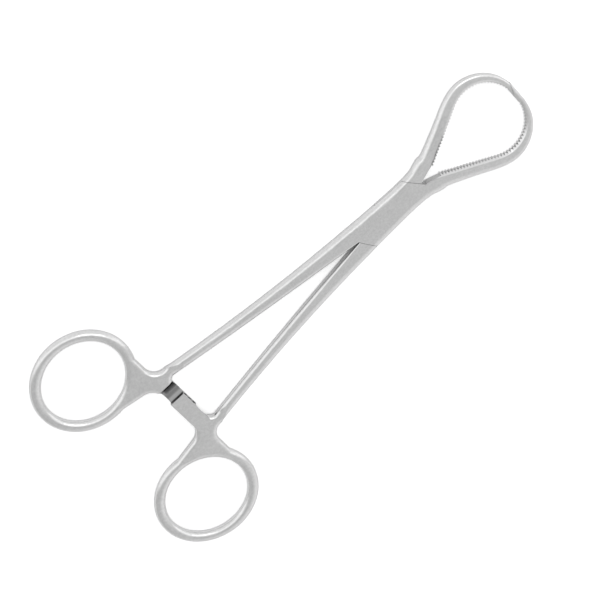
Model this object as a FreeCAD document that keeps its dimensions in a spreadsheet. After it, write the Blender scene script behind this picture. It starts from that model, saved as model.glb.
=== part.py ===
# Ring-handled bone holding forceps with a box lock, a ratchet and a pear-shaped toothed loop.
# Units are millimetres. +X runs from the pivot to the jaws, +Y to the box half's finger ring, +Z up.
# The origin is on the pivot's axis, at the flat underside of the box lock.
# Two forgings are nearly mirror images: the box half holds the upper handle and the lower jaw,
# the inner half holds the lower handle and the upper jaw and passes through the box half's slot.
import FreeCAD, Part
import Sketcher
import math
import os

# The driving sizes, in millimetres and degrees. Each becomes a named cell of the sheet below.
names_before = set(globals())

# The whole instrument, closed
overall_length = 191.096  # from the back of the finger rings to the outer side of the tips

# Finger rings: a round bar bent to an ellipse
ring_side = 30.15  # ring centre from the centre line
ring_half_length = 17.25  # ellipse of the bar's centre line, along
ring_half_width = 15.0  # ellipse of the bar's centre line, across
ring_turn = 2.5  # degrees that the ellipse is turned outwards
ring_bar = 4.0  # diameter of the ring's bar

# Shanks, from the web beside the ring to the crotch where the two halves meet
shank_setback = 19.85  # ring centre to the shank's start in the web, along the instrument
shank_side = 12.5  # shank centre at its start, from the centre line
shank_width = 3.85  # width of the slim end
shank_thickness = 3.98  # thickness of the slim end
shank_bow = 0.85  # how far the shank bows inwards at its middle

# Ratchet: one tongue above the other, between the shanks beside the rings
tongue_setback = 17.75  # ring centre to the middle of the tongues, along the instrument
tongue_width = 5.8  # width of a tongue along the instrument
tongue_root = 7.4  # where the web ends and the tongue starts
tongue_reach = 3.3  # how far a tongue passes the centre line
tongue_gap = 0.16  # gap between the tooth crests of the two tongues
catch_pitch = 2.0  # spacing of the ratchet teeth
catch_depth = 0.75  # depth of the ratchet teeth
catch_land = 0.2  # width of a tooth's flat crest
catch_steep = 0.25  # run of a tooth's steep side
catch_floor = 0.7  # width of the floor between two teeth
catch_slope_end = 9.1  # centre line to the web's edge above the other tongue
catch_slope_radius = 3.6  # radius of the hollow slope from that edge to the last tooth

# Web that joins ring, shank and tongue
web_thickness = 4.02  # thickness of the flat web, which just covers the ring's bar
web_rounding = 1.6  # rounding of the web's edges
web_hollow = 4.4  # hollow between ring and shank
web_corner = 1.7  # distance of the hollow from the ring's outer side
web_overhang = 0.06  # how far the web stands out beyond the ring's bar and the tongue

# Box lock
box_thickness = 4.7  # thickness of the lock, the thickest place
box_half_width = 5.35  # half width of the lock at the pivot
crotch_half_width = 6.1  # half width where the shanks meet
jaw_curve_start = 8.7  # pivot to where the sides start to flare
lock_reach = 14.35  # pivot to the crotch between the shanks, and to the throat between the jaws
throat_half_gap = 0.5  # half width of the throat
throat_relief = 0.5  # radius of the relief hole at the throat
relief_reach = 15.1  # pivot to the relief hole, along
relief_side = 0.55  # relief hole from the centre line, towards the box half's jaw
blade_thickness = 1.7  # inner half's blade inside the slot
blade_clearance = 0.07  # clearance of the blade on each side
seam_gap = 0.12  # gap at the shoulders and at the jaw tips
jaw_seam_angle = 50.0  # slope of the jaw-side shoulders in plan, degrees
handle_seam_angle = 57.0  # slope of the handle-side shoulders in plan, degrees
wall_angle = 24.4  # slope of the slot's end walls in plan, degrees
pin_radius = 1.6  # radius of the pivot pin
pin_clearance = 0.04  # running clearance of the pin in the blade
edge_share = 0.85  # edge rounding as a share of the half thickness

# Jaws: two arms that flare, then close to a loop
jaw_angle = 26.0  # slope of the jaws' straight outer sides, degrees
jaw_reach = 58.2  # pivot to the outer side of the tips
loop_half_width = 17.0  # half width of the loop outside
loop_radius = 14.2  # outer radius of the loop
tooth_circle_reach = 44.9  # centre of the tooth circle, along
tooth_circle_side = 1.4  # centre of the tooth circle, from the centre line
tooth_circle_radius = 11.3  # radius through the tooth tips
tooth_line_angle = 27.5  # slope of the straight run of teeth, degrees
jaw_thickness_loop = 3.2  # jaw thickness at the widest place of the loop
jaw_thickness_tip = 2.3  # jaw thickness at the tips
jaw_bevel = 1.2  # plan width of the bevel that leads to the teeth
tip_seam_reach = 1.05  # outer side of the tips to the middle of their joint
tip_seam_side = 2.4  # where the tips meet, from the centre line
tip_seam_angle = 68.0  # slope of the tips' joint in plan, degrees
tooth_pitch = 1.09  # spacing of the jaw teeth
tooth_depth = 0.8  # depth of the jaw teeth
tooth_start = 20.1  # pivot to the first jaw tooth

size_names = [name for name in globals() if name not in names_before and name != "names_before"]
doc = FreeCAD.newDocument("bone_holding_forceps")
sheet = doc.addObject("Spreadsheet::Sheet", "Sizes")
for row, name in enumerate(size_names, 1):
    sheet.set("A%d" % row, name.replace("_", " "))
    sheet.set("B%d" % row, str(globals()[name]))
    sheet.setAlias("B%d" % row, name)
doc.recompute()


def number(formula):
    """Value of a formula on the sheet's cells."""
    value = sheet.evalExpression(formula)
    return float(getattr(value, "Value", value))


def mirrored(formula, side):
    """The formula for the other half's mirror image when side is -1."""
    if side > 0:
        return "(%s)" % formula
    return "(-(%s))" % formula


# Formulas for the places behind the pivot, which follow from the overall length
ring_end = "sqrt((Sizes.ring_half_length * cos(Sizes.ring_turn))^2 + " \
    "(Sizes.ring_half_width * sin(Sizes.ring_turn))^2)"
ring_back = "(Sizes.overall_length - Sizes.jaw_reach - Sizes.ring_bar / 2 - %s)" % ring_end
shank_back = "(%s - Sizes.shank_setback)" % ring_back
tongue_back = "(%s - Sizes.tongue_setback)" % ring_back


def origin_plane(body, role):
    """One of the body's own origin planes."""
    return [feature for feature in body.Origin.OriginFeatures if feature.Role == role][0]


def new_sketch(body, name, role, at=("0", "0", "0"), turn="0"):
    """Sketch on an origin plane, moved to a point and turned about the vertical by formulas."""
    sketch = body.newObject("Sketcher::SketchObject", name)
    sketch.AttachmentSupport = [(origin_plane(body, role), "")]
    sketch.MapMode = "FlatFace"
    east, north, height = at
    order = {
        "XY_Plane": (east, north, height),
        "XZ_Plane": (east, height, "-(%s)" % north),
        "YZ_Plane": (north, height, east),
    }[role]
    axis = FreeCAD.Vector(0, 0, 1)
    if role != "XY_Plane":
        axis = FreeCAD.Vector(0, 1, 0)
    base = FreeCAD.Vector(number(order[0]), number(order[1]), number(order[2]))
    # A turn of a whole zero would lose the axis, so the axis is set with a small turn first
    sketch.AttachmentOffset = FreeCAD.Placement(base, FreeCAD.Rotation(axis, 1.0))
    for letter, formula in zip("xyz", order):
        sketch.setExpression("AttachmentOffset.Base." + letter, formula)
    sketch.setExpression("AttachmentOffset.Rotation.Angle", turn)
    return sketch


def bind(sketch, constraint, formula):
    """Adds a dimension and binds it to a formula on the sheet."""
    index = sketch.addConstraint(constraint)
    sketch.setExpression("Constraints[%d]" % index, formula)


def outline(sketch, corners):
    """Closed outline. Each corner is (x, y) after a straight edge, or (x, y, radius, turn) after
    an arc, where turn is 1 for an arc that runs anticlockwise and -1 for a clockwise one."""
    places = [FreeCAD.Vector(number(c[0]), number(c[1]), 0) for c in corners]
    ends = []
    for i, corner in enumerate(corners):
        start = places[i - 1]
        finish = places[i]
        if len(corner) == 2:
            edge = sketch.addGeometry(Part.LineSegment(start, finish), False)
            ends.append((edge, 1, 2))
            continue
        radius = number(corner[2])
        chord = finish.sub(start)
        middle = start.add(chord.multiply(0.5))
        chord = finish.sub(start)
        lift = math.sqrt(max(radius ** 2 - (chord.Length / 2) ** 2, 0))
        left = FreeCAD.Vector(-chord.y, chord.x, 0).normalize()
        centre = middle.add(left.multiply(lift * corner[3]))
        circle = Part.Circle(centre, FreeCAD.Vector(0, 0, 1), radius)
        first = math.atan2(start.y - centre.y, start.x - centre.x)
        last = math.atan2(finish.y - centre.y, finish.x - centre.x)
        if corner[3] > 0:
            edge = sketch.addGeometry(Part.ArcOfCircle(circle, first, last), False)
            ends.append((edge, 1, 2))
        else:
            edge = sketch.addGeometry(Part.ArcOfCircle(circle, last, first), False)
            ends.append((edge, 2, 1))
        bind(sketch, Sketcher.Constraint("Radius", edge, radius), corner[2])
    for i, (edge, start, finish) in enumerate(ends):
        following = ends[(i + 1) % len(ends)]
        sketch.addConstraint(Sketcher.Constraint("Coincident", edge, finish, following[0], following[1]))
        bind(sketch, Sketcher.Constraint("DistanceX", edge, finish, places[i].x), corners[i][0])
        bind(sketch, Sketcher.Constraint("DistanceY", edge, finish, places[i].y), corners[i][1])


def block(body, kind, name, sketch, length):
    """Pad or Pocket of the sketch, half to each side of its plane."""
    feature = body.newObject("PartDesign::" + kind, name)
    feature.Profile = sketch
    feature.Midplane = True
    feature.Length = number(length)
    feature.setExpression("Length", length)
    body.Tip = feature
    return feature


def bar_section(body, name, at, turn, near, far, half, radius_near, radius_far):
    """Upright section of a bar from near to far across, rounded at its four corners."""
    sketch = new_sketch(body, name, "YZ_Plane", at, turn)
    near_round = "(%s) + (%s)" % (near, radius_near)
    far_round = "(%s) - (%s)" % (far, radius_far)
    low_near = "(%s) - (%s)" % (radius_near, half)
    low_far = "(%s) - (%s)" % (radius_far, half)
    high_near = "(%s) - (%s)" % (half, radius_near)
    high_far = "(%s) - (%s)" % (half, radius_far)
    corners = [
        (near, low_near),
        (near_round, "-(%s)" % half, radius_near, 1),
        (far_round, "-(%s)" % half),
        (far, low_far, radius_far, 1),
        (far, high_far),
        (far_round, half, radius_far, 1),
        (near_round, half),
        (near, high_near, radius_near, 1),
    ]
    outline(sketch, corners)
    return sketch


def loft(body, name, sections):
    """Smooth solid through the sections."""
    feature = body.newObject("PartDesign::AdditiveLoft", name)
    feature.Profile = sections[0]
    feature.Sections = sections[1:]
    feature.Ruled = False
    body.Tip = feature
    return feature


def span(side, inner, outer):
    """The two ends of a section across the bar, in rising order on either side."""
    if side > 0:
        return inner, outer
    return mirrored(outer, side), mirrored(inner, side)


def ring_ellipse(body, name, side, turn, inset):
    """Ellipse about the ring's centre, smaller than the bar's centre line by the inset."""
    place = ("-" + ring_back, mirrored("Sizes.ring_side", side), "0")
    sketch = new_sketch(body, name, "XY_Plane", place, turn)
    half_length = "(Sizes.ring_half_length - (%s))" % inset
    half_width = "(Sizes.ring_half_width - (%s))" % inset
    ellipse = Part.Ellipse(FreeCAD.Vector(0, 0, 0), number(half_length), number(half_width))
    sketch.addGeometry(ellipse, False)
    sketch.exposeInternalGeometry(0)
    sketch.addConstraint(Sketcher.Constraint("Coincident", 0, 3, -1, 1))
    sketch.addConstraint(Sketcher.Constraint("Horizontal", 1))
    bind(sketch, Sketcher.Constraint("Distance", 1, 2 * number(half_length)), "2 * " + half_length)
    bind(sketch, Sketcher.Constraint("Distance", 2, 2 * number(half_width)), "2 * " + half_width)
    return sketch


def add_web(body, side):
    """Flat web between ring, shank and tongue, with hollow corners, out to the ring bar's centre."""
    ring_outer = "(Sizes.ring_half_length + Sizes.ring_bar / 2 - %s)" % ring_back
    tongue_left = "(-%s - Sizes.tongue_width / 2)" % tongue_back
    tongue_right = "(-%s + Sizes.tongue_width / 2)" % tongue_back
    shank_start = "(-%s)" % shank_back
    shank_outer = "(Sizes.shank_side + Sizes.shank_width / 2)"
    shank_inner = "(Sizes.shank_side - Sizes.shank_width / 2)"
    ring_foot = "(Sizes.ring_side - Sizes.ring_half_width - Sizes.ring_bar / 2)"
    centre = "(-%s)" % ring_back
    outside = 1 * side
    corners = [
        (shank_start + " + 8", "Sizes.shank_side - 0.9"),
        (shank_start + " + 2.2", shank_outer + " - 0.25"),
        (ring_outer + " - Sizes.web_corner", "Sizes.shank_side + 6.1", "Sizes.web_hollow", -outside),
        (ring_outer + " - Sizes.web_corner", "Sizes.ring_side - 3.65"),
        (ring_outer + " - Sizes.ring_bar / 2 - 0.3", "Sizes.ring_side - 3.65"),
        (centre + " + Sizes.ring_half_length * 0.83", "Sizes.ring_side - Sizes.ring_half_width * 0.55"),
        (centre + " + Sizes.ring_half_length * 0.54", "Sizes.ring_side - Sizes.ring_half_width * 0.83"),
        (centre + " + Sizes.ring_half_length * 0.07", ring_foot + " + Sizes.ring_bar / 2"),
        (centre + " + Sizes.ring_half_length * 0.07", ring_foot + " + 0.45"),
        (tongue_left + " - 4.7", "Sizes.tongue_root + 4.6"),
        (tongue_left + " - Sizes.web_overhang", "Sizes.tongue_root", "Sizes.web_hollow * 1.15", -outside),
        (tongue_right + " + Sizes.web_overhang", "Sizes.tongue_root + 0.9"),
        (shank_start + " + 3.8", shank_inner + " - 0.4", "Sizes.web_hollow * 0.6", -outside),
        (shank_start + " + 8", "Sizes.shank_side - 2"),
    ]
    placed = [(c[0], mirrored(c[1], side)) + tuple(c[2:]) for c in corners]
    sketch = new_sketch(body, "web_outline", "XY_Plane")
    outline(sketch, placed)
    web = block(body, "Pad", "web", sketch, "Sizes.web_thickness")
    doc.recompute()
    # Only the sides that show are rounded: the hollows beside the tongue and the ring, and the
    # straight sides that they run into
    exposed = [sketch.Geometry[i] for i in (2, 3, 9, 10, 12)]
    middles = [edge.value((edge.FirstParameter + edge.LastParameter) / 2) for edge in exposed]
    rims = []
    for i, edge in enumerate(web.Shape.Edges):
        heights = [vertex.Point.z for vertex in edge.Vertexes]
        middle = edge.valueAt((edge.FirstParameter + edge.LastParameter) / 2)
        nearest = min(math.hypot(middle.x - spot.x, middle.y - spot.y) for spot in middles)
        if abs(heights[0] - heights[-1]) < 1e-6 and nearest < 1e-3:
            rims.append("Edge%d" % (i + 1))
    fillet = body.newObject("PartDesign::Fillet", "web_edges")
    fillet.Base = (web, rims)
    fillet.Radius = number("Sizes.web_rounding")
    fillet.setExpression("Radius", "Sizes.web_rounding")
    body.Tip = fillet


def add_ring(body, side):
    """Round bar along an ellipse."""
    place = ("-" + ring_back, mirrored("Sizes.ring_side", side), "0")
    turn = mirrored("Sizes.ring_turn", side)
    # The path starts at the ring's far end, where it runs the same way as the section faces
    path = ring_ellipse(body, "ring_path", side, "(%s) + 180" % turn, "0")
    half_length = number("Sizes.ring_half_length")
    section = new_sketch(body, "ring_section", "XZ_Plane", place, turn)
    radius = number("Sizes.ring_bar / 2")
    circle = Part.Circle(FreeCAD.Vector(-half_length, 0, 0), FreeCAD.Vector(0, 0, 1), radius)
    section.addGeometry(circle, False)
    section.addConstraint(Sketcher.Constraint("PointOnObject", 0, 3, -1))
    bind(section, Sketcher.Constraint("DistanceX", 0, 3, -half_length), "-Sizes.ring_half_length")
    bind(section, Sketcher.Constraint("Radius", 0, radius), "Sizes.ring_bar / 2")
    ring = body.newObject("PartDesign::AdditivePipe", "ring")
    ring.Profile = section
    ring.Spine = (path, ["Edge1"])
    body.Tip = ring


def shank_values(share):
    """Formulas for the shank at a share of its length: place, centre, half width, half thickness."""
    place = "(-%s + %g * (%s - Sizes.lock_reach))" % (shank_back, share, shank_back)
    crotch_centre = "(Sizes.crotch_half_width + Sizes.seam_gap) / 2"
    crotch_width = "(Sizes.crotch_half_width - Sizes.seam_gap)"
    centre = "(Sizes.shank_side * %g + %s * %g - 4 * Sizes.shank_bow * %g)" % (
        1 - share, crotch_centre, share, share * (1 - share))
    half_width = "(Sizes.shank_width / 2 * %g + %s / 2 * %g)" % (1 - share ** 2, crotch_width, share ** 2)
    half_thickness = "(Sizes.shank_thickness / 2 * %g + Sizes.box_thickness / 2 * %g)" % (
        1 - share ** 2, share ** 2)
    return place, centre, half_width, half_thickness


def add_shank(body, side):
    """Arm from the web to the crotch, growing wider and thicker towards the lock."""
    sections = []
    for step, share in enumerate((0.0, 0.25, 0.5, 0.75, 0.9, 1.0)):
        place, centre, half_width, half_thickness = shank_values(share)
        outer = "(%s + %s)" % (centre, half_width)
        inner = "(%s - %s)" % (centre, half_width)
        outer_radius = "(Sizes.edge_share * min(%s; %s))" % (half_thickness, half_width)
        inner_radius = "(%s * %g)" % (outer_radius, 1 - 0.8 * share ** 3)
        near, far = span(side, inner, outer)
        near_radius = inner_radius if side > 0 else outer_radius
        far_radius = outer_radius if side > 0 else inner_radius
        section = bar_section(body, "shank_section_%d" % step, (place, "0", "0"), "0",
                              near, far, half_thickness, near_radius, far_radius)
        sections.append(section)
    loft(body, "shank", sections)


def flare_radius():
    """Radius of the hollow curve that leads from the lock's side into the jaw's straight side."""
    tangent_x = "(Sizes.jaw_reach - Sizes.loop_radius - Sizes.loop_radius * sin(Sizes.jaw_angle))"
    tangent_y = "(Sizes.loop_half_width - Sizes.loop_radius + Sizes.loop_radius * cos(Sizes.jaw_angle))"
    drop = "(%s - (%s - Sizes.jaw_curve_start) * tan(Sizes.jaw_angle))" % (tangent_y, tangent_x)
    reach = "(sin(Sizes.jaw_angle) * tan(Sizes.jaw_angle) + cos(Sizes.jaw_angle) - 1)"
    return "((Sizes.box_half_width - %s) / %s)" % (drop, reach)


def lock_half_width(place):
    """Half width of the lock's outline at a distance from the pivot, as a formula."""
    if number(place) <= number("Sizes.jaw_curve_start"):
        span_back = "(Sizes.jaw_curve_start + Sizes.lock_reach)"
        share = "((Sizes.jaw_curve_start - (%s)) / %s)" % (place, span_back)
        return "(Sizes.box_half_width + (Sizes.crotch_half_width - Sizes.box_half_width) * %s ^ 2)" % share
    radius = flare_radius()
    run = "((%s) - Sizes.jaw_curve_start)" % place
    return "(Sizes.box_half_width + %s - sqrt(%s ^ 2 - %s ^ 2))" % (radius, radius, run)


def add_lock(body):
    """The lock's full outline, from the crotch to the throat; each half is then cut from it."""
    half = "Sizes.box_thickness / 2"
    radius = "Sizes.edge_share * %s" % half
    places = ["-Sizes.lock_reach", "-Sizes.lock_reach / 2", "0", "Sizes.jaw_curve_start",
              "Sizes.lock_reach"]
    sections = []
    for step, place in enumerate(places):
        width = lock_half_width(place)
        section = bar_section(body, "lock_section_%d" % step, (place, "0", "0"), "0",
                              "-(%s)" % width, width, half, radius, radius)
        sections.append(section)
    loft(body, "lock", sections)


def tooth_line_width(east, north, turn):
    """Width from an outer point to the straight line of tooth tips, across a bar at that turn."""
    return ("(((Sizes.tooth_circle_reach - (%s)) * sin(Sizes.tooth_line_angle)"
            " + ((%s) - Sizes.tooth_circle_side) * cos(Sizes.tooth_line_angle)"
            " - Sizes.tooth_circle_radius) / cos((%s) - Sizes.tooth_line_angle))" % (east, north, turn))


def loop_width(angle):
    """Width from the loop's outer arc to the circle of tooth tips, at an angle about the arc."""
    east = "(Sizes.jaw_reach - Sizes.loop_radius - Sizes.tooth_circle_reach)"
    north = "(Sizes.loop_half_width - Sizes.loop_radius - Sizes.tooth_circle_side)"
    along = "(%s * cos(%s) + %s * sin(%s))" % (east, angle, north, angle)
    reach = "(sqrt(%s ^ 2 - %s ^ 2 - %s ^ 2 + Sizes.tooth_circle_radius ^ 2) - %s)" % (
        along, east, north, along)
    return "(Sizes.loop_radius - %s)" % reach


def jaw_stations(past_centre):
    """Stations of a jaw on the +Y side: outer point, turn, width and half thickness as formulas."""
    root = "Sizes.box_thickness / 2"
    wide = "Sizes.jaw_thickness_loop / 2"
    tip = "Sizes.jaw_thickness_tip / 2"
    arc_east = "(Sizes.jaw_reach - Sizes.loop_radius)"
    arc_north = "(Sizes.loop_half_width - Sizes.loop_radius)"
    start_width = "(%s - Sizes.throat_half_gap)" % lock_half_width("Sizes.lock_reach")
    stations = [("Sizes.lock_reach", lock_half_width("Sizes.lock_reach"), "0", start_width, root)]
    radius = flare_radius()
    turn = "(0.7 * Sizes.jaw_angle)"
    east = "(Sizes.jaw_curve_start + %s * sin(%s))" % (radius, turn)
    north = "(Sizes.box_half_width + %s * (1 - cos(%s)))" % (radius, turn)
    half = "(%s * 0.86 + %s * 0.14)" % (root, wide)
    stations.append((east, north, turn, tooth_line_width(east, north, turn), half))
    line_end_east = "(%s - Sizes.loop_radius * sin(Sizes.jaw_angle))" % arc_east
    line_end_north = "(%s + Sizes.loop_radius * cos(Sizes.jaw_angle))" % arc_north
    for run, share in ((13.5, 0.35), (6.0, 0.6)):
        east = "(%s - %g * cos(Sizes.jaw_angle))" % (line_end_east, run)
        north = "(%s - %g * sin(Sizes.jaw_angle))" % (line_end_north, run)
        turn = "Sizes.jaw_angle"
        half = "(%s * %g + %s * %g)" % (root, 1 - share, wide, share)
        stations.append((east, north, turn, tooth_line_width(east, north, turn), half))
    # Along the loop the thickness falls from 0.8 of the way to the loop's value down to the tip's
    start_half = "(%s * 0.2 + %s * 0.8)" % (root, wide)
    for share in (0.0, 0.2, 0.4, 0.6, 0.8, 1.0):
        angle = "((90 + Sizes.jaw_angle) * %g)" % (1 - share)
        east = "(%s + Sizes.loop_radius * cos(%s))" % (arc_east, angle)
        north = "(%s + Sizes.loop_radius * sin(%s))" % (arc_north, angle)
        half = "(%s * %g + %s * %g)" % (start_half, 1 - share, tip, share)
        stations.append((east, north, "(%s - 90)" % angle, loop_width(angle), half))
    last_width = loop_width("0")
    stations.append(("Sizes.jaw_reach", "0", "-90", last_width, tip))
    if past_centre:
        stations.append(("Sizes.jaw_reach", "-" + arc_north, "-90", last_width, tip))
        angle = "14"
        east = "(%s + Sizes.loop_radius * cos(%s))" % (arc_east, angle)
        north = "(-%s - Sizes.loop_radius * sin(%s))" % (arc_north, angle)
        stations.append((east, north, "(-90 - %s)" % angle, loop_width(angle), tip))
    return stations


def add_jaw(body, side, past_centre):
    """Bar that follows the loop: rounded outside, bevelled inside towards the tooth tips."""
    sections = []
    for step, (east, north, turn, width, half) in enumerate(jaw_stations(past_centre)):
        place = (east, mirrored(north, side), "0")
        sketch = new_sketch(body, "jaw_section_%d" % step, "YZ_Plane", place, mirrored(turn, side))
        radius = "(Sizes.edge_share * %s)" % half
        bevel = "min(Sizes.jaw_bevel; 0.4 * %s)" % width
        if step == 0:
            bevel = "0.3"
        wall = "(%s - 0.45 * %s)" % (half, bevel if step == 0 else half)
        outside = side
        corners = [
            ("0", "%s - %s" % (radius, half)),
            ("0", "%s - %s" % (half, radius)),
            ("-" + radius, half, radius, outside),
            ("%s - %s" % (bevel, width), half),
            ("-" + width, wall),
            ("-" + width, "-" + wall),
            ("%s - %s" % (bevel, width), "-(%s)" % half),
            ("-" + radius, "-(%s)" % half),
        ]
        placed = [(mirrored(c[0], side), c[1]) + tuple(c[2:]) for c in corners]
        placed[0] = placed[0] + (radius, outside)
        outline(sketch, placed)
        sections.append(sketch)
    loft(body, "jaw", sections)


def add_tongue(body, side, above):
    """Ratchet tongue, the upper or the lower one, with its teeth towards the other one."""
    lift = 1 if above else -1
    half_gap = "Sizes.tongue_gap / 2"
    thickness = "(Sizes.web_thickness / 2 - %s)" % half_gap
    middle = "(%d * (%s + %s / 2))" % (lift, half_gap, thickness)
    left = "(-%s - Sizes.tongue_width / 2)" % tongue_back
    right = "(-%s + Sizes.tongue_width / 2)" % tongue_back
    root = mirrored("Sizes.tongue_root + 3.2", side)
    end = mirrored("-Sizes.tongue_reach", side)
    sketch = new_sketch(body, "tongue_outline", "XY_Plane", ("0", "0", middle))
    outline(sketch, [(left, root), (left, end), (right, end), (right, root)])
    block(body, "Pad", "tongue", sketch, thickness)
    # Saw teeth: each notch has one steep side and one sloping side
    crest = "(%d * (%s))" % (lift, half_gap)
    floor = "(%d * (%s + Sizes.catch_depth))" % (lift, half_gap)
    over = "(%d * (%s - 0.3))" % (lift, half_gap)
    notch = new_sketch(body, "catch_notch", "YZ_Plane", ("-" + tongue_back, "0", "0"))
    start = "(Sizes.catch_land - Sizes.tongue_reach)"
    first = mirrored(start, side)
    steep = mirrored(start + " + Sizes.catch_steep", side)
    low = mirrored(start + " + Sizes.catch_steep + Sizes.catch_floor", side)
    last = mirrored("Sizes.catch_pitch - Sizes.tongue_reach", side)
    outline(notch, [(first, crest), (steep, floor), (low, floor), (last, crest), (last, over), (first, over)])
    cut = block(body, "Pocket", "catch", notch, "Sizes.tongue_width * 1.5")
    row = body.newObject("PartDesign::LinearPattern", "catches")
    row.Originals = [cut]
    row.Direction = (notch, ["H_Axis"])
    row.Reversed = side < 0
    count = int(number("(Sizes.tongue_reach * 2 + Sizes.catch_pitch / 2) / Sizes.catch_pitch"))
    row.Length = number("Sizes.catch_pitch") * (count - 1)
    row.setExpression("Length", "Sizes.catch_pitch * %d" % (count - 1))
    row.Occurrences = count
    body.Tip = row
    # The web slopes down to the last tooth in a hollow curve, which leaves room for the other tongue
    room = new_sketch(body, "catch_room_outline", "YZ_Plane", ("-" + tongue_back, "0", "0"))
    ridge = "(Sizes.catch_pitch * %d + Sizes.catch_land - Sizes.tongue_reach)" % count
    edge = mirrored("Sizes.catch_slope_end", side)
    top = "(%d * Sizes.web_thickness / 2)" % -lift
    clear = "(%d * (Sizes.web_thickness / 2 + 0.5))" % -lift
    outline(room, [(mirrored(ridge, side), crest), (mirrored(ridge + " + Sizes.catch_steep", side), floor),
                   (edge, top, "Sizes.catch_slope_radius", 1), (edge, clear), (mirrored(ridge, side), clear)])
    block(body, "Pocket", "catch_room", room, "Sizes.tongue_width * 1.5")


def seam_angle(end):
    """Slope of the jaw-side seam (end 1) or the handle-side one (end -1)."""
    return "Sizes.jaw_seam_angle" if end > 0 else "Sizes.handle_seam_angle"


def seam_point(run, end):
    """Point on the jaw-side seam line (end 1) or the handle-side one (end -1), run from the throat."""
    east = "(%d * (Sizes.lock_reach - (%s) * cos(%s)))" % (end, run, seam_angle(end))
    north = "(%d * (%s) * sin(%s))" % (end, run, seam_angle(end))
    return east, north


def seam_shift(end, sign):
    """Half of the seam's gap, away from the seam line, as east and north formulas."""
    east = "%d * Sizes.seam_gap / 2 * sin(%s)" % (sign * end, seam_angle(end))
    north = "%d * Sizes.seam_gap / 2 * cos(%s)" % (sign * end, seam_angle(end))
    return east, north


def cut_plan(body, name, corners, height="Sizes.box_thickness * 2", level="0"):
    """Pocket of a plan outline, half of the height to each side of a level."""
    sketch = new_sketch(body, name + "_outline", "XY_Plane", ("0", "0", level))
    outline(sketch, corners)
    return block(body, "Pocket", name, sketch, height)


def shifted(point, east, north):
    """The point moved by two formulas."""
    return "(%s) + (%s)" % (point[0], east), "(%s) + (%s)" % (point[1], north)


def cut_box_half(body):
    """Shoulder cuts and the slot of the box half."""
    for end, name in ((1, "jaw_shoulder"), (-1, "handle_shoulder")):
        low = shifted(seam_point("0", end), *seam_shift(end, -1))
        high = shifted(seam_point("9", end), *seam_shift(end, -1))
        corner = ("%d * (Sizes.lock_reach + 0.02)" % end, low[1])
        far = ("%d * (Sizes.lock_reach + 0.02)" % end, high[1])
        cut_plan(body, name, [low, corner, far, high])
    along_east = "20 * cos(Sizes.wall_angle)"
    along_north = "20 * sin(Sizes.wall_angle)"
    wall = "Sizes.lock_reach * sin(Sizes.wall_angle)"
    side_east = "-(%s) * sin(Sizes.wall_angle)" % wall
    side_north = "(%s) * cos(Sizes.wall_angle)" % wall
    corners = [
        ("-(%s) - (%s)" % (along_east, side_east), "-(%s) - (%s)" % (along_north, side_north)),
        ("(%s) - (%s)" % (along_east, side_east), "(%s) - (%s)" % (along_north, side_north)),
        ("(%s) + (%s)" % (along_east, side_east), "(%s) + (%s)" % (along_north, side_north)),
        ("-(%s) + (%s)" % (along_east, side_east), "-(%s) + (%s)" % (along_north, side_north)),
    ]
    cut_plan(body, "slot", corners, "Sizes.blade_thickness + 2 * Sizes.blade_clearance")


def cut_inner_half(body):
    """Cuts that leave the inner half's thin blade and its two shoulders."""
    wall = "(Sizes.lock_reach * sin(Sizes.wall_angle) - Sizes.seam_gap)"
    for end, name in ((1, "jaw_side"), (-1, "handle_side")):
        # The blade's edge starts on the centre line's end of the lock and runs at the wall's slope
        mouth = "%d * Sizes.lock_reach" % end
        start_north = "%d * ((Sizes.lock_reach - %s * sin(Sizes.wall_angle)) * tan(Sizes.wall_angle)" % (
            end, wall) + " - %s * cos(Sizes.wall_angle))" % wall
        far_east = "%d * (%s * sin(Sizes.wall_angle) - 22 * cos(Sizes.wall_angle))" % (end, wall)
        far_north = "-%d * (%s * cos(Sizes.wall_angle) + 22 * sin(Sizes.wall_angle))" % (end, wall)
        beyond = ("%d * 12 * sin(Sizes.wall_angle)" % end, "-%d * 12 * cos(Sizes.wall_angle)" % end)
        cut_plan(body, name, [(mouth, start_north), (far_east, far_north),
                              shifted((far_east, far_north), beyond[0], beyond[1]),
                              (mouth, "-%d * 14" % end)])
    cheek = "(Sizes.box_thickness - Sizes.blade_thickness)"
    high = shifted(seam_point("9", 1), *seam_shift(1, 1))
    low = shifted(seam_point("-9", 1), *seam_shift(1, 1))
    far_low = shifted(seam_point("9", -1), *seam_shift(-1, 1))
    far_high = shifted(seam_point("-9", -1), *seam_shift(-1, 1))
    for level, name in ((1, "upper_cheek_room"), (-1, "lower_cheek_room")):
        middle = "%d * (Sizes.blade_thickness / 2 + %s)" % (level, cheek)
        cut_plan(body, name, [high, far_high, far_low, low], "2 * " + cheek, middle)


def cut_tip(body, keeps_below):
    """The tips' slanting joint: one jaw keeps what is below it, the other what is above."""
    sign = 1 if keeps_below else -1
    gap_east = "%d * Sizes.seam_gap / 2 * -sin(Sizes.tip_seam_angle)" % -sign
    gap_north = "%d * Sizes.seam_gap / 2 * cos(Sizes.tip_seam_angle)" % -sign
    run = "6"
    middle = ("Sizes.jaw_reach - Sizes.tip_seam_reach", "Sizes.tip_seam_side")
    along = ("%s * cos(Sizes.tip_seam_angle)" % run, "%s * sin(Sizes.tip_seam_angle)" % run)
    start = shifted(shifted(middle, "-(%s)" % along[0], "-(%s)" % along[1]), gap_east, gap_north)
    finish = shifted(shifted(middle, along[0], along[1]), gap_east, gap_north)
    beyond = "%d * 9" % sign
    cut_plan(body, "tip_joint", [start, finish, (finish[0], "(%s) + %s" % (finish[1], beyond)),
                                 (start[0], "(%s) + %s" % (start[1], beyond))])


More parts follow.
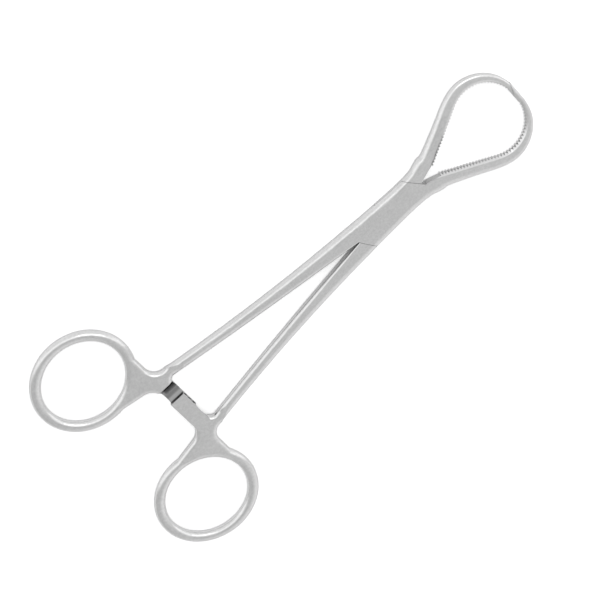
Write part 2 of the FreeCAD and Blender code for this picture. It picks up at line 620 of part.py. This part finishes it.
def cut_teeth(body, side):
    """Vee notches along the inner edge: a straight run, then an arc."""
    half_mouth = "Sizes.tooth_pitch * 0.46"
    line_end_east = "(Sizes.tooth_circle_reach - Sizes.tooth_circle_radius * sin(Sizes.tooth_line_angle))"
    line_end_north = "(Sizes.tooth_circle_side + Sizes.tooth_circle_radius * cos(Sizes.tooth_line_angle))"
    run = number("(%s - Sizes.tooth_start) / cos(Sizes.tooth_line_angle)" % line_end_east)
    count = int(run / number("Sizes.tooth_pitch"))
    back = "(Sizes.tooth_pitch * %g)" % (count - 0.5)
    first_east = "%s - %s * cos(Sizes.tooth_line_angle)" % (line_end_east, back)
    first_north = "%s - %s * sin(Sizes.tooth_line_angle)" % (line_end_north, back)
    turn = mirrored("Sizes.tooth_line_angle", side)
    line = new_sketch(body, "tooth_line", "XY_Plane", (first_east, mirrored(first_north, side), "0"), turn)
    mouth = "-0.3"
    flare = "Sizes.tooth_pitch * 0.17"
    shape = [("-(%s) - %s" % (half_mouth, flare), mouth), ("%s + %s" % (half_mouth, flare), mouth),
             ("0", "Sizes.tooth_depth")]
    outline(line, [(c[0], mirrored(c[1], side)) for c in shape])
    notch = block(body, "Pocket", "line_notch", line, "Sizes.box_thickness * 2")
    row = body.newObject("PartDesign::LinearPattern", "line_notches")
    row.Originals = [notch]
    row.Direction = (line, ["H_Axis"])
    row.Length = number("Sizes.tooth_pitch") * (count - 1)
    row.setExpression("Length", "Sizes.tooth_pitch * %d" % (count - 1))
    row.Occurrences = count
    body.Tip = row
    step = "(Sizes.tooth_pitch / Sizes.tooth_circle_radius * 180 / pi)"
    start_angle = "(90 + Sizes.tooth_line_angle - %s / 2)" % step
    arc_count = int(number("(90 + Sizes.tooth_line_angle - 6) / %s" % step))
    centre = ("Sizes.tooth_circle_reach", mirrored("Sizes.tooth_circle_side", side), "0")
    arc = new_sketch(body, "tooth_arc", "XY_Plane", centre, mirrored("(%s - 90)" % start_angle, side))
    tips = "Sizes.tooth_circle_radius"
    outline(arc, [(c[0], mirrored("%s + %s" % (tips, c[1]), side)) for c in shape])
    notch = block(body, "Pocket", "arc_notch", arc, "Sizes.box_thickness * 2")
    fan = body.newObject("PartDesign::PolarPattern", "arc_notches")
    fan.Originals = [notch]
    fan.Axis = (arc, ["N_Axis"])
    fan.Reversed = side > 0
    fan.Angle = number(step) * (arc_count - 1)
    fan.setExpression("Angle", "%s * %d" % (step, arc_count - 1))
    fan.Occurrences = arc_count
    body.Tip = fan
    # Before the first tooth the jaw's inner edge lies back at the notch floor
    corners = [
        ("Sizes.lock_reach - 0.01", "Sizes.throat_half_gap"),
        ("Sizes.lock_reach - 0.01", "-2"),
        (first_east, "-2"),
        (first_east, "%s + Sizes.tooth_depth / cos(Sizes.tooth_line_angle)" % first_north),
    ]
    cut_plan(body, "tooth_row_start", [(c[0], mirrored(c[1], side)) for c in corners])


def cut_round(body, name, east, north, radius):
    """Round upright hole through the body."""
    sketch = new_sketch(body, name + "_outline", "XY_Plane")
    centre = FreeCAD.Vector(number(east), number(north), 0)
    circle = Part.Circle(centre, FreeCAD.Vector(0, 0, 1), number(radius))
    sketch.addGeometry(circle, False)
    bind(sketch, Sketcher.Constraint("DistanceX", 0, 3, centre.x), east)
    bind(sketch, Sketcher.Constraint("DistanceY", 0, 3, centre.y), north)
    bind(sketch, Sketcher.Constraint("Radius", 0, number(radius)), radius)
    return block(body, "Pocket", name, sketch, "Sizes.box_thickness * 2")


def forging(name, handle_side):
    """One half of the instrument: its handle on one side, its jaw on the other."""
    body = doc.addObject("PartDesign::Body", name)
    body.Label = name
    jaw_side = -handle_side
    holds_box = handle_side > 0
    add_web(body, handle_side)
    add_ring(body, handle_side)
    add_shank(body, handle_side)
    add_tongue(body, handle_side, not holds_box)
    add_lock(body)
    if holds_box:
        cut_box_half(body)
    else:
        cut_inner_half(body)
    add_jaw(body, jaw_side, holds_box)
    cut_tip(body, holds_box)
    cut_teeth(body, jaw_side)
    if holds_box:
        cut_round(body, "relief_hole", "Sizes.relief_reach", "-Sizes.relief_side", "Sizes.throat_relief")
    bore = "Sizes.pin_radius" if holds_box else "Sizes.pin_radius + Sizes.pin_clearance"
    cut_round(body, "pivot_bore", "0", "0", bore)
    body.setExpression("Placement.Base.z", "Sizes.box_thickness / 2")
    return body


def pivot_pin():
    """Plain rivet pin, its ends ground flush with the lock's faces."""
    pin = doc.addObject("Part::Cylinder", "pivot_pin")
    pin.Label = "pivot_pin"
    pin.setExpression("Radius", "Sizes.pin_radius")
    pin.setExpression("Height", "Sizes.box_thickness")
    return pin


pieces = [forging("box_half", 1), forging("inner_half", -1), pivot_pin()]
doc.recompute()

for item in doc.Objects:
    states = [state for state in item.State if state in ("Invalid", "Error")]
    if states:
        raise RuntimeError("%s did not rebuild: %s" % (item.Name, states))
os.makedirs("parts", exist_ok=True)
for piece in pieces:
    shape = piece.Shape
    if shape.isNull() or not shape.isValid():
        raise RuntimeError("%s has no valid shape" % piece.Label)
    shape.exportStep("parts/%s.step" % piece.Label)
    print(piece.Label, len(shape.Solids), "solids", round(shape.Volume, 1), "mm3")
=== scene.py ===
# Bone holding forceps of satin stainless steel, lying closed on a white table.
# Units are metres. +X runs to the jaws, +Y to the finger ring of the box half, +Z up.
import bpy
import numpy as np
from mathutils import Matrix, Vector

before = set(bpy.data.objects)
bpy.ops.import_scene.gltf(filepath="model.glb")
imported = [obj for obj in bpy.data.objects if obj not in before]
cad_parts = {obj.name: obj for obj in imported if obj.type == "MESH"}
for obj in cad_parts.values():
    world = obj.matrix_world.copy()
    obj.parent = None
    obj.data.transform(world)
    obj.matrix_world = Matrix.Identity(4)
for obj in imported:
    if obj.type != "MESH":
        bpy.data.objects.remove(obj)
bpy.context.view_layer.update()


# Steel of the two forged halves: stainless steel, ground smooth and then glass-bead blasted
# to an even satin. The bead marks are a fine grain under a tenth of a millimetre, over a
# faint mottling and slower clouds from the hand polishing before it.
grain_scale = 9000.0
grain_height = 0.00002
mottling_scale = 1300.0
cloud_scale = 160.0
cloud_share = 0.3
shade_spread = 0.16
smoothest = -0.04
roughest = 0.05


def even_noise(nodes, links, place, scale, detail):
    """Noise on the piece's own coordinates."""
    noise = nodes.new("ShaderNodeTexNoise")
    noise.inputs["Scale"].default_value = scale
    noise.inputs["Detail"].default_value = detail
    links.new(place.outputs["Object"], noise.inputs["Vector"])
    return noise.outputs["Fac"]


def satin_steel(name, colour, roughness):
    """Metal whose look comes from three noises: bead marks, mottling and clouds."""
    material = bpy.data.materials.new(name)
    material.use_nodes = True
    nodes, links = material.node_tree.nodes, material.node_tree.links
    shader = nodes["Principled BSDF"]
    shader.inputs["Metallic"].default_value = 1.0
    shader.inputs["Specular Tint"].default_value = (0.72, 0.72, 0.72, 1.0)
    place = nodes.new("ShaderNodeTexCoord")
    grain = even_noise(nodes, links, place, grain_scale, 2.0)
    mottling = even_noise(nodes, links, place, mottling_scale, 2.0)
    clouds = even_noise(nodes, links, place, cloud_scale, 3.0)
    tone = nodes.new("ShaderNodeMapRange")
    tone.inputs["From Min"].default_value = 0.3
    tone.inputs["From Max"].default_value = 0.7
    tone.inputs["To Min"].default_value = roughness + smoothest
    tone.inputs["To Max"].default_value = roughness + roughest
    links.new(clouds, tone.inputs["Value"])
    links.new(tone.outputs["Result"], shader.inputs["Roughness"])
    both = nodes.new("ShaderNodeMix")
    both.inputs["Factor"].default_value = cloud_share
    links.new(mottling, both.inputs["A"])
    links.new(clouds, both.inputs["B"])
    shade = nodes.new("ShaderNodeMix")
    shade.data_type = "RGBA"
    shade.inputs["A"].default_value = [c * (1 - shade_spread) for c in colour] + [1.0]
    shade.inputs["B"].default_value = [c * (1 + shade_spread) for c in colour] + [1.0]
    links.new(both.outputs["Result"], shade.inputs["Factor"])
    links.new(shade.outputs["Result"], shader.inputs["Base Color"])
    bump = nodes.new("ShaderNodeBump")
    bump.inputs["Strength"].default_value = 0.25
    bump.inputs["Distance"].default_value = grain_height
    links.new(grain, bump.inputs["Height"])
    links.new(bump.outputs["Normal"], shader.inputs["Normal"])
    return material


def clad(node, steel):
    """Gives a piece its steel."""
    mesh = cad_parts[node].data
    mesh.materials.clear()
    mesh.materials.append(steel)


forged_steel = satin_steel("satin_forged_steel", (0.70, 0.70, 0.70), 0.20)
for half in ("box_half", "inner_half"):
    clad(half, forged_steel)


# Ratchet teeth: painted shade. The steel's colour is darkened to a flat grey in a box about
# the middle of the two tongues, just inside the tongues' flat faces, for the shade that
# falls on the teeth between the two tongues.
MM = 0.001
ratchet_middle = (-95.9, 0.0, 2.35)
ratchet_half_size = (2.86, 9.15, 1.93)
# Colour of the painted shade on the ratchet teeth.
ratchet_shade_colour = (0.30, 0.30, 0.30, 1.0)


def paint_ratchet_shade(steel):
    """Paints shade into the steel's colour inside the ratchet's box."""
    nodes, links = steel.node_tree.nodes, steel.node_tree.links
    place = nodes.new("ShaderNodeTexCoord")
    from_middle = nodes.new("ShaderNodeVectorMath")
    from_middle.operation = "SUBTRACT"
    from_middle.inputs[1].default_value = [c * MM for c in ratchet_middle]
    links.new(place.outputs["Object"], from_middle.inputs[0])
    distance = nodes.new("ShaderNodeVectorMath")
    distance.operation = "ABSOLUTE"
    links.new(from_middle.outputs["Vector"], distance.inputs[0])
    beyond = nodes.new("ShaderNodeVectorMath")
    beyond.operation = "SUBTRACT"
    beyond.inputs[1].default_value = [c * MM for c in ratchet_half_size]
    links.new(distance.outputs["Vector"], beyond.inputs[0])
    sides = nodes.new("ShaderNodeSeparateXYZ")
    links.new(beyond.outputs["Vector"], sides.inputs[0])
    level = nodes.new("ShaderNodeMath")
    level.operation = "MAXIMUM"
    links.new(sides.outputs["X"], level.inputs[0])
    links.new(sides.outputs["Y"], level.inputs[1])
    outside = nodes.new("ShaderNodeMath")
    outside.operation = "MAXIMUM"
    links.new(level.outputs[0], outside.inputs[0])
    links.new(sides.outputs["Z"], outside.inputs[1])
    # Mask of the painted shade: everything inside the ratchet's box.
    in_ratchet_shade = nodes.new("ShaderNodeMath")
    in_ratchet_shade.operation = "LESS_THAN"
    in_ratchet_shade.inputs[1].default_value = 0.0
    links.new(outside.outputs[0], in_ratchet_shade.inputs[0])
    base = nodes["Principled BSDF"].inputs["Base Color"]
    blasted_colour = base.links[0].from_socket
    # Mixes the painted shade over the steel's own colour.
    teeth = nodes.new("ShaderNodeMix")
    teeth.data_type = "RGBA"
    teeth.inputs["B"].default_value = ratchet_shade_colour
    links.new(in_ratchet_shade.outputs[0], teeth.inputs["Factor"])
    links.new(blasted_colour, teeth.inputs["A"])
    links.new(teeth.outputs["Result"], base)


# Painted shade on the ratchet teeth, between the two tongues.
paint_ratchet_shade(forged_steel)


# Pivot pin: a plain rivet of nearly the same steel, ground flush with the lock, so that only
# its edge shows as a faint ring.
clad("pivot_pin", satin_steel("satin_pin_steel", (0.69, 0.69, 0.69), 0.19))


# Table: a white seamless sheet under the lock's underside. It keeps a soft shadow where the
# steel lies on it. It is lifted to white for the camera, and a little for what the steel
# mirrors.
table_half_size = 3.0
table_drop = 0.05 * MM
seen_lift = 0.45
mirrored_lift = 0.12


def white_table(half_size, across=3):
    """Flat square grid with as many points across each way."""
    steps = np.linspace(-half_size, half_size, across)
    east, north = np.meshgrid(steps, steps)
    points = np.stack([east.ravel(), north.ravel(), np.full(east.size, -table_drop)], axis=1)
    first = (np.arange(across - 1)[:, None] * across + np.arange(across - 1)).ravel()
    faces = np.stack([first, first + 1, first + across + 1, first + across], axis=1)
    mesh = bpy.data.meshes.new("table")
    mesh.from_pydata(points.tolist(), [], faces.tolist())
    sheet = bpy.data.objects.new("table", mesh)
    bpy.context.scene.collection.objects.link(sheet)
    return sheet


table = white_table(table_half_size)
table_white = bpy.data.materials.new("table_white")
table_white.use_nodes = True
nodes, links = table_white.node_tree.nodes, table_white.node_tree.links
cloth = nodes["Principled BSDF"]
cloth.inputs["Base Color"].default_value = (0.9, 0.9, 0.9, 1.0)
cloth.inputs["Roughness"].default_value = 0.9
ray = nodes.new("ShaderNodeLightPath")
seen = nodes.new("ShaderNodeMath")
seen.operation = "MAXIMUM"
links.new(ray.outputs["Is Camera Ray"], seen.inputs[0])
links.new(ray.outputs["Is Transmission Ray"], seen.inputs[1])
lift_seen = nodes.new("ShaderNodeMath")
lift_seen.operation = "MULTIPLY"
lift_seen.inputs[1].default_value = seen_lift
links.new(seen.outputs[0], lift_seen.inputs[0])
lift = nodes.new("ShaderNodeMath")
lift.operation = "MULTIPLY_ADD"
lift.inputs[1].default_value = mirrored_lift
links.new(ray.outputs["Is Glossy Ray"], lift.inputs[0])
links.new(lift_seen.outputs[0], lift.inputs[2])
cloth.inputs["Emission Color"].default_value = (1.0, 1.0, 1.0, 1.0)
links.new(lift.outputs[0], cloth.inputs["Emission Strength"])
table.data.materials.append(table_white)


# Studio: the sky is dark overhead and behind the handles. It turns bright with a clear edge
# towards the key light, and slowly on the far side, so that flat faces mirror its grey part
# and every rounded edge carries one bright line.
towards_key = (0.45, 0.80, 0.0)
to_far_side = (0.25, -1.0, 0.0)
dark_sky = 0.63
bright_sky = 1.25
fall_off = -0.28
far_side_rise = 0.34

world = bpy.data.worlds.new("studio")
bpy.context.scene.world = world
world.use_nodes = True
nodes, links = world.node_tree.nodes, world.node_tree.links
direction = nodes.new("ShaderNodeTexCoord")


def sky_step(along, low, high, start, finish, smooth):
    """Strength that goes from start to finish as the direction along a vector goes from low to high."""
    run = nodes.new("ShaderNodeVectorMath")
    run.operation = "DOT_PRODUCT"
    run.inputs[1].default_value = along
    links.new(direction.outputs["Generated"], run.inputs[0])
    step = nodes.new("ShaderNodeMapRange")
    step.interpolation_type = "SMOOTHSTEP" if smooth else "LINEAR"
    step.inputs["From Min"].default_value = low
    step.inputs["From Max"].default_value = high
    step.inputs["To Min"].default_value = start
    step.inputs["To Max"].default_value = finish
    links.new(run.outputs["Value"], step.inputs["Value"])
    return step.outputs["Result"]


strength = sky_step(towards_key, -0.02, 0.32, dark_sky, bright_sky, True)
further_steps = (
    sky_step(towards_key, 0.36, 0.70, 0.0, fall_off, True),
    sky_step(to_far_side, 0.15, 0.95, 0.0, far_side_rise, False),
)
for further in further_steps:
    total = nodes.new("ShaderNodeMath")
    total.operation = "ADD"
    links.new(strength, total.inputs[0])
    links.new(further, total.inputs[1])
    strength = total.outputs[0]
sky = nodes["Background"]
sky.inputs["Color"].default_value = (1.0, 1.0, 1.0, 1.0)
links.new(strength, sky.inputs["Strength"])


# Key light: a soft panel in front of the jaws, which adds to the bright line along each bar
# and lays a faint shadow beside the instrument.
panel = bpy.data.lights.new("key", "AREA")
panel.shape = "RECTANGLE"
panel.size = 0.50
panel.size_y = 0.30
panel.energy = 0.7
key = bpy.data.objects.new("key", panel)
bpy.context.scene.collection.objects.link(key)
key_place = Vector((0.36, 0.42, 0.85))
key.location = key_place
key.rotation_euler = key_place.to_track_quat("Z", "Y").to_euler()


# Camera at the photograph's angle: about 54 cm away, a long lens, turned so that the
# instrument runs from lower left to upper right.
camera_place = Vector((11.3, 175.0, 511.35)) * MM
looked_at = Vector((-42.4, -1.3, 2.35)) * MM
picture_up = Vector((0.678, 0.669, -0.303))
back = (camera_place - looked_at).normalized()
right = picture_up.cross(back).normalized()
up = back.cross(right)
lens = bpy.data.cameras.new("camera")
lens.sensor_width = 36.0
lens.lens = 96.0
lens.clip_start = 0.01
lens.clip_end = 20.0
camera = bpy.data.objects.new("camera", lens)
bpy.context.scene.collection.objects.link(camera)
camera.matrix_world = Matrix((
    (right.x, up.x, back.x, camera_place.x),
    (right.y, up.y, back.y, camera_place.y),
    (right.z, up.z, back.z, camera_place.z),
    (0.0, 0.0, 0.0, 1.0),
))
bpy.context.scene.camera = camera
bpy.context.scene.view_settings.view_transform = "Standard"
